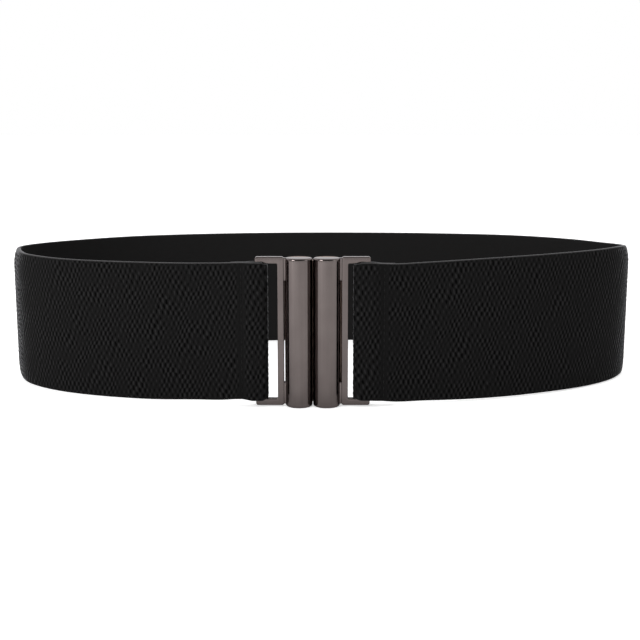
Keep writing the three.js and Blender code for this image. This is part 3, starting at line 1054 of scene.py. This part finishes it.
@dataclass(frozen=True)
class BlackElastic:
    """Black woven elastic: matt yarn in a staggered lattice, with a faint sheen at grazing angles."""

    pitch: float
    row: float
    # The weave's own pattern, partly painted light: sunken is painted shade in the gaps between floats, and
    # raised is a painted gloss on the floats.
    sunken: Colour = (0.0012, 0.0012, 0.0012)
    ground: Colour = (0.0089, 0.0087, 0.0088)
    raised: Colour = (0.0220, 0.0216, 0.0220)
    # inside: the inner face's plain colour, set lighter than the outer face's ground as painted light, to
    # lift the shaded inside of the loop.
    inside: Colour = (0.0168, 0.0164, 0.0164)
    # The rounded edges' colour: partly the selvedge's lighter yarn, and partly a painted highlight where
    # the edges catch the light.
    selvedge_and_rim_highlight: Colour = (0.0460, 0.0450, 0.0455)
    rim_highlight_share: tuple[float, float] = (0.55, 1.0)
    wander: float = 0.9
    wander_push: Place = (0.22, 0.45, 0.0)
    float_width_power: float = 1.6
    float_length_power: float = 0.6
    yarn_width: float = 0.32 * MM
    yarn_stretch: float = 0.2
    yarn_shade: float = 0.5
    yarn_height: float = 0.35
    patches: float = 0.31
    patch_strength: tuple[float, float] = (0.5, 1.35)
    seam_strength: float = 0.12
    inside_strength: float = 0.14
    roughness: tuple[float, float] = (0.95, 0.72)
    bump: float = 0.09 * MM

    def make(self) -> bpy.types.Material:
        """Builds the material on the band's own map of distances.

        The lattice is cos(2 pi a) cos(pi b) as in the band's relief, bent a little by a slow noise,
        with the first wave narrowed and the second filled out by their powers. Its high places are the
        light floats and its low ones the dark gaps: the weave's own pattern, with a painted gloss on the
        floats and painted shade in the gaps. A finer noise, drawn out along the floats, stands
        for the yarn's filaments.

        Returns:
            The material.
        """
        t = NodeTree(bpy.data.materials.new("black_elastic"))
        place = t.node("UVMap", uv_map="weave")[0]
        lattice_place = t.scaled(place, 1 / self.pitch, 1 / self.row, 1)
        wander = t.noise(lattice_place, self.wander, dimensions="2D")["Color"]
        push = t.node("VectorMath", {0: wander, 1: (0.5, 0.5, 0.5)}, operation="SUBTRACT")[0]
        bent = t.node("VectorMath", {0: push, 1: self.wander_push, 2: lattice_place},
                      operation="MULTIPLY_ADD")[0]
        split = t.node("SeparateXYZ", {0: bent})
        wave_a = t.math("COSINE", t.times(split[0], FULL_TURN))
        wave_b = t.math("COSINE", t.times(split[1], math.pi))
        wave_a, wave_b = t.shaped(wave_a, self.float_width_power), t.shaped(wave_b, self.float_length_power)
        lattice = t.times(wave_a, wave_b)
        yarn_place = t.scaled(place, 1 / self.yarn_width, self.yarn_stretch / self.yarn_width, 1)
        yarn = t.noise(yarn_place, 1.0, 3.0, dimensions="2D")[0]
        patches = t.noise(lattice_place, self.patches, 3.0, dimensions="2D")[0]
        outer = t.attribute("outer_face")
        strength = t.spread(patches, *MOST_OF_NOISE, *self.patch_strength)
        strength = t.times(strength, t.spread(t.attribute("seam_shade"), 0.0, 1.0, 1.0, self.seam_strength))
        strength = t.times(strength, t.spread(outer, 0.0, 1.0, self.inside_strength, 1.0))
        woven = t.times(lattice, strength)
        shade = t.plus(t.math("SUBTRACT", yarn, 0.5), self.yarn_shade, woven)
        # The ramp paints shade into the gaps and gloss onto the floats.
        colour = t.ramp(t.spread(shade, *WHOLE_WAVE), (0.1, self.sunken), (0.96, self.raised),
                        (0.36, self.ground), (0.62, self.ground))
        # The painted edge highlight, broken up by the yarn noise.
        edge = t.times(t.attribute("selvedge_and_rim_highlight"), t.spread(yarn, *MOST_OF_NOISE, *self.rim_highlight_share))
        height = t.plus(yarn, self.yarn_height, woven)
        t.feed(t.shader, {
            # Off the outer face the colour is the painted lighter inside colour, and on the rounded edges
            # it is mixed toward the painted edge highlight.
            "Base Color": t.mix(edge, t.mix(outer, self.inside, colour), self.selvedge_and_rim_highlight),
            "Roughness": t.spread(shade, *WHOLE_WAVE, *self.roughness),
            "Normal": t.node("Bump", {"Height": height, "Strength": 0.55, "Distance": self.bump})[0],
            "Specular IOR Level": 0.04,
            "Sheen Weight": 0.62,
            "Sheen Roughness": 0.2,
            "Sheen Tint": (0.96, 0.96, 1.0),
        })
        return t.owner


@dataclass(frozen=True)
class SewingThread:
    """Black polyester thread, twisted from two plies and a little glossier than the elastic."""

    dark: Colour = (0.004, 0.004, 0.004)
    light: Colour = (0.012, 0.012, 0.012)
    bands_scale: float = 1 / (4.8 * MM)
    roughness: tuple[float, float] = (0.62, 0.42)
    bump: float = 0.05 * MM

    def make(self) -> bpy.types.Material:
        """Builds the material: slanted bands up the stitches, as the plies cross.

        Returns:
            The material.
        """
        t = NodeTree(bpy.data.materials.new("black_thread"))
        place = t.node("TexCoord")["Object"]
        twist = t.node("TexWave", {"Vector": place, "Scale": self.bands_scale, "Distortion": 1.2},
                       wave_type="BANDS", bands_direction="DIAGONAL")["Fac"]
        t.feed(t.shader, {
            "Base Color": t.ramp(twist, (0.0, self.dark), (1.0, self.light)),
            "Roughness": t.spread(twist, 0.0, 1.0, *self.roughness),
            "Normal": t.node("Bump", {"Height": twist, "Strength": 0.4, "Distance": self.bump})[0],
            "Specular IOR Level": 0.12,
        })
        return t.owner


@dataclass(frozen=True)
class Gunmetal:
    """Polished black nickel plating, warm grey, with the faint upright lines that polishing leaves."""

    recess_shade_from: float
    recess_depth: float = 0.9 * MM
    # The brown, matt finish behind the plane: painted shade for the slits, the groove between the rolls and
    # the buckle's back.
    recess_shade: Colour = (0.320, 0.235, 0.200)
    recess_roughness: float = 0.35
    deep: Colour = (0.138, 0.116, 0.112)
    plain: Colour = (0.160, 0.135, 0.130)
    bright: Colour = (0.182, 0.156, 0.150)
    line_scale: float = 900.0
    line_stretched_scale: float = 14.0
    cloud_scale: float = 95.0
    speck_scale: float = 2600.0
    specks: tuple[float, ...] = (0.55, 0.8, 0.0, 0.08)
    roughness: tuple[float, float] = (0.1, 0.18)
    bump: float = 0.03 * MM

    def make(self) -> bpy.types.Material:
        """Builds the material on object coordinates.

        A noise that is drawn out along Z gives the polishing lines, in colour, roughness and a very low
        bump, and a coarse noise gives the clouds where the plating is thinner or was handled. Behind
        a plane of constant Y the metal is brown and matt: painted shade, which gives the slits, the
        groove between the rolls and the buckle's back the tone of their shade.

        Returns:
            The material.
        """
        t = NodeTree(bpy.data.materials.new("gunmetal_plating"))
        place = t.node("TexCoord")["Object"]
        back = t.node("SeparateXYZ", {0: place})["Y"]
        recess_shade_share = t.spread(back, self.recess_shade_from, self.recess_shade_from + self.recess_depth)
        drawn = t.scaled(place, self.line_scale, self.line_scale, self.line_stretched_scale)
        lines = t.noise(drawn, 1.0, 4.0, 0.6)[0]
        clouds = t.noise(place, self.cloud_scale, 4.0, 0.55)[0]
        specks = t.spread(t.noise(place, self.speck_scale)[0], *self.specks)
        tone = t.plus(lines, 0.45, t.times(clouds, 0.55))
        plated = t.ramp(tone, (0.3, self.deep), (0.72, self.bright), (0.5, self.plain))
        rough = t.math("ADD", t.spread(tone, *MOST_OF_NOISE, *self.roughness), specks)
        height = t.plus(clouds, 0.5, lines)
        t.feed(t.shader, {
            "Base Color": t.mix(recess_shade_share, plated, self.recess_shade),
            "Roughness": t.plus(recess_shade_share, self.recess_roughness, rough),
            "Normal": t.node("Bump", {"Height": height, "Strength": 0.12, "Distance": self.bump})[0],
            "Metallic": 1.0,
            "Specular Tint": (0.78, 0.77, 0.78),
        })
        return t.owner


# The studio


@dataclass(frozen=True)
class SoftBox:
    """One large soft lamp that looks at the belt."""

    name: str
    place: Place
    width: float
    height: float
    power: float

    def build(self, aim: Place) -> None:
        """Hangs the lamp and turns it to a point.

        Args:
            aim: The point.
        """
        lamp = bpy.data.lights.new(self.name, "AREA")
        lamp.shape, lamp.size, lamp.size_y, lamp.energy = "RECTANGLE", self.width, self.height, self.power
        holder = make_object(self.name, lamp)
        holder.location = self.place
        away = Vector(self.place) - Vector(aim)
        holder.rotation_euler = away.to_track_quat("Z", "Y").to_euler()


@dataclass
class Studio:
    """A white floor under soft light, and the camera in front of the buckle."""

    camera_place: Place = (-1.01 * MM, -513.44 * MM, 116.88 * MM)
    camera_pitch: float = 10.198
    lens: float = 60.32
    sensor: float = 36.0
    view_end: float = 100.0
    floor_radius: float = 14.0
    floor_sides: int = 96
    floor_shade: Colour = (0.9, 0.9, 0.9)
    floor_roughness: tuple[float, float] = (0.75, 0.9)
    floor_glow: float = 0.55
    surround: float = 1.0
    front_sky: float = 0.08
    turning_up: tuple[float, float] = (0.05, 0.3)
    turning_front: tuple[float, float] = (0.35, -0.05)
    top_light: float = 1.3
    top_light_width: float = 60.0
    boxes: tuple[SoftBox, ...] = (
        SoftBox("key_light", (-0.72, -0.66, 0.54), 0.4, 0.3, 5.2),
        SoftBox("fill_light", (0.85, -0.35, 0.5), 0.4, 0.3, 1.2),
    )
    aim: Place = (-0.1, -0.15, 0.0)

    def build_camera(self) -> None:
        """Sets the camera at the photograph's angle, above the floor and looking a little down."""
        data = bpy.data.cameras.new("camera")
        data.lens, data.sensor_width, data.clip_end = self.lens, self.sensor, self.view_end
        camera = make_object("camera", data)
        camera.location = self.camera_place
        camera.rotation_euler = (math.radians(90 - self.camera_pitch), 0, 0)
        bpy.context.scene.camera = camera

    def build_floor(self) -> None:
        """Lays a large round floor: points at floor_radius times (cos, sin), as one face.

        The picture sees the floor a little brighter than the belt does, as in a cut-out photograph.
        """
        turn = np.linspace(0, FULL_TURN, self.floor_sides, endpoint=False)
        rim = np.stack([np.cos(turn), np.sin(turn), np.zeros_like(turn)], axis=-1) * self.floor_radius
        mesh = bpy.data.meshes.new("floor")
        mesh.from_pydata(rim.tolist(), [], [list(range(len(rim)))])
        t = NodeTree(bpy.data.materials.new("floor_paint"))
        grain = t.noise(t.node("TexCoord")["Object"], 3.0)[0]
        seen = t.node("LightPath")["Is Camera Ray"]
        t.feed(t.shader, {
            "Base Color": self.floor_shade,
            "Roughness": t.spread(grain, *MOST_OF_NOISE, *self.floor_roughness),
            "Specular IOR Level": 0.1,
            "Emission Color": (1, 1, 1),
            "Emission Strength": t.times(seen, self.floor_glow),
        })
        mesh.materials.append(t.owner)
        make_object("floor", mesh)

    def build_surround(self) -> None:
        """Makes the room round the belt: a white sweep, and a darker room above and behind the camera.

        The light from a direction is the surround's, and falls to the front sky's as the direction
        turns up and to the front. The picture's own background stays white.
        """
        t = NodeTree(bpy.data.worlds.new("studio"))
        bpy.context.scene.world = t.owner
        way = t.node("SeparateXYZ", {0: t.node("TexCoord")["Generated"]})
        upward = t.spread(way["Z"], *self.turning_up, way="SMOOTHSTEP")
        frontward = t.spread(way["Y"], *self.turning_front, way="SMOOTHSTEP")
        unseen = t.spread(t.node("LightPath")["Is Camera Ray"], 1.0, 0.0, way="SMOOTHSTEP")
        dark = t.times(t.times(upward, frontward), unseen)
        strength = t.spread(dark, 0.0, 1.0, self.surround, self.front_sky)
        t.feed(t.shader, {"Color": (1, 1, 1), "Strength": strength})

    def build_lamps(self) -> None:
        """Hangs a wide lamp far overhead, for an even floor, and the soft boxes."""
        lamp = bpy.data.lights.new("top_light", "SUN")
        lamp.energy, lamp.angle = self.top_light, math.radians(self.top_light_width)
        make_object("top_light", lamp).visible_glossy = False
        for box in self.boxes:
            box.build(self.aim)

    def build(self) -> None:
        """Builds the whole studio and sets plain display colours."""
        self.build_camera()
        self.build_floor()
        self.build_surround()
        self.build_lamps()
        bpy.context.scene.view_settings.view_transform = "Standard"


def dress(piece: Piece, material: bpy.types.Material, slot: Slot, *nodes: str) -> None:
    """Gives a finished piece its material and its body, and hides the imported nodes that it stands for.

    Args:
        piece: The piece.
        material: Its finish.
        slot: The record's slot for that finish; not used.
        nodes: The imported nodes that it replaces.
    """
    piece.data.materials.clear()
    piece.data.materials.append(material)
    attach(piece, "root")
    if nodes:
        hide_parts(*nodes)
    log.info("%s: %d faces", piece.name, len(piece.data.polygons))


def main() -> None:
    """Builds the studio, the band with its seams, and the two halves of the buckle."""
    logging.basicConfig(level=logging.INFO, format="%(name)s %(message)s")
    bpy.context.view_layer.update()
    Studio().build()

    sizes = BuckleSizes()
    place = PlanPlace.from_frame(sizes)
    band = ElasticBand(sizes, place)
    elastic = BlackElastic(band.length / band.pitches, band.width / band.weave.rows).make()
    strap = band.build()
    dress(strap, elastic, Slot.ELASTIC, "elastic_strap")
    log.info("band: %.1f mm long, %d pitches", band.length / MM, band.pitches)

    thread = SewingThread().make()
    seams = [SeamThread(band, side).build() for side in Side]
    for seam in seams:
        dress(seam, thread, Slot.ELASTIC)

    # The plane behind which the casting is painted brown and matt, as shade: the frame's back face.
    plating = Gunmetal(place.y + sizes.setback + sizes.frame_depth / 2).make()
    for side in Side:
        casting = BuckleHalf(side, sizes, place).build()
        dress(casting, plating, Slot.GUNMETAL, f"buckle_half_{side.word}")


if __name__ == "__main__":
    main()
